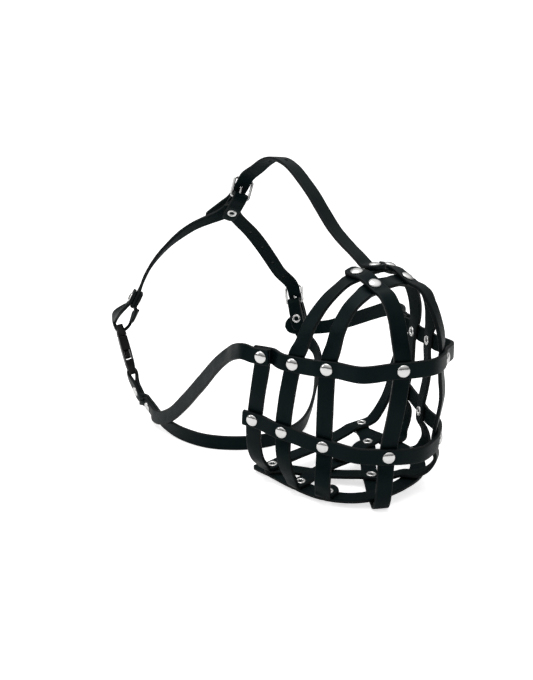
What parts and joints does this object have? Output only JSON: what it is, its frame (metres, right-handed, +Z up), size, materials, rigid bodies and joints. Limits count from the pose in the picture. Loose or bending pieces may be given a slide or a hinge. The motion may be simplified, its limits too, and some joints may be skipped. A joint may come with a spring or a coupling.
{
  "type": "dog muzzle",
  "caption": "Basket dog muzzle of riveted leather straps with a forehead strap, an adjustable buckled neck collar and a side-release clip.",
  "frame": {"origin": "on the ground, under the middle of the whole object's bounding box", "axes": "+X out of the nose, +Y to the wearer's left, +Z up"},
  "size_m": [0.3356, 0.187, 0.2385],
  "materials": {
    "leather": "smooth black harness leather, semi-gloss outer face, matt inner side, with a faint blue-green tint",
    "rivet_nickel": "bright nickel-plated domed rivet caps",
    "buckle_nickel": "nickel-plated round wire",
    "clip_plastic": "glossy black moulded plastic"
  },
  "bodies": {
    "harness": {"upper_band": "leather", "lower_band": "leather", "rear_loop": "leather", "middle_loop": "leather", "front_loop": "leather", "front_strap_right": "leather", "front_strap_left": "leather", "bottom_rim": "leather", "forehead_strap": "leather", "cheek_strap_right": "leather", "cheek_strap_left": "leather", "throat_strap": "leather", "neck_strap": "leather", "clip_loop": "leather", "holed_neck_strap": "leather", "top_buckle_tab": "leather", "side_buckle_tab": "leather", "rivet_upper_rear_right": "rivet_nickel", "rivet_upper_rear_left": "rivet_nickel", "rivet_upper_middle_right": "rivet_nickel", "rivet_upper_middle_left": "rivet_nickel", "rivet_upper_side_right": "rivet_nickel", "rivet_upper_side_left": "rivet_nickel", "rivet_upper_front_right": "rivet_nickel", "rivet_upper_front_left": "rivet_nickel", "rivet_lower_rear_right": "rivet_nickel", "rivet_lower_rear_left": "rivet_nickel", "rivet_lower_middle_right": "rivet_nickel", "rivet_lower_middle_left": "rivet_nickel", "rivet_lower_side_right": "rivet_nickel", "rivet_lower_side_left": "rivet_nickel", "rivet_lower_front_right": "rivet_nickel", "rivet_lower_front_left": "rivet_nickel", "rivet_crown_rear_right": "rivet_nickel", "rivet_crown_rear_left": "rivet_nickel", "rivet_crown_front_right": "rivet_nickel", "rivet_crown_front_left": "rivet_nickel", "rivet_crown_center": "rivet_nickel", "rivet_chin_rear_right": "rivet_nickel", "rivet_chin_rear_left": "rivet_nickel", "rivet_rim_middle_right": "rivet_nickel", "rivet_rim_middle_left": "rivet_nickel", "rivet_rim_front_right": "rivet_nickel", "rivet_rim_front_left": "rivet_nickel", "rivet_chin_front": "rivet_nickel", "rivet_chin_middle": "rivet_nickel", "rivet_chin_cross_left": "rivet_nickel", "rivet_collar_top": "rivet_nickel", "rivet_collar_side": "rivet_nickel", "rivet_clip_upper": "rivet_nickel", "rivet_clip_lower": "rivet_nickel", "rivet_collar_right": "rivet_nickel", "female_clip": "clip_plastic"},
    "clip_male": {"male_clip": "clip_plastic"},
    "clip_prong_right": {"clip_prong_right": "clip_plastic"},
    "clip_prong_left": {"clip_prong_left": "clip_plastic"},
    "top_frame": {"top_buckle_frame": "buckle_nickel"},
    "top_tongue": {"top_buckle_tongue": "buckle_nickel"},
    "side_frame": {"side_buckle_frame": "buckle_nickel"},
    "side_tongue": {"side_buckle_tongue": "buckle_nickel"}
  },
  "joints": [
    {"name": "clip_release", "type": "slide", "parent": "harness", "child": "clip_male", "axis": [-0.3829, -0.0301, 0.9233], "range_m": [0, 0.016], "deforming": ["clip_loop"]},
    {"name": "prong_right_flex", "type": "hinge", "parent": "clip_male", "child": "clip_prong_right", "pos_m": [-0.1592, -0.0648, 0.06714], "axis": [-0.3907, -0.9004, -0.1914], "range_deg": [0, 6]},
    {"name": "prong_left_flex", "type": "hinge", "parent": "clip_male", "child": "clip_prong_left", "pos_m": [-0.14915, -0.07001, 0.07114], "axis": [0.3907, 0.9004, 0.1914], "range_deg": [0, 6]},
    {"name": "top_frame_swing", "type": "hinge", "parent": "harness", "child": "top_frame", "pos_m": [-0.05317, -0.00675, 0.2015], "axis": [-0.4017, -0.8465, 0.3494], "range_deg": [0, 4]},
    {"name": "top_tongue_swing", "type": "hinge", "parent": "top_frame", "child": "top_tongue", "pos_m": [-0.05317, -0.00675, 0.2015], "axis": [-0.4017, -0.8465, 0.3494], "range_deg": [0, 6]},
    {"name": "side_frame_swing", "type": "hinge", "parent": "harness", "child": "side_frame", "pos_m": [-0.07649, 0.07554, 0.09298], "axis": [-0.7941, -0.5482, -0.2623], "range_deg": [0, 4]},
    {"name": "side_tongue_swing", "type": "hinge", "parent": "side_frame", "child": "side_tongue", "pos_m": [-0.07649, 0.07554, 0.09298], "axis": [-0.7941, -0.5482, -0.2623], "range_deg": [0, 6]}
  ],
  "couplings": [
    {"joint": "prong_left_flex", "follows": "prong_right_flex", "ratio": 1}
  ]
}
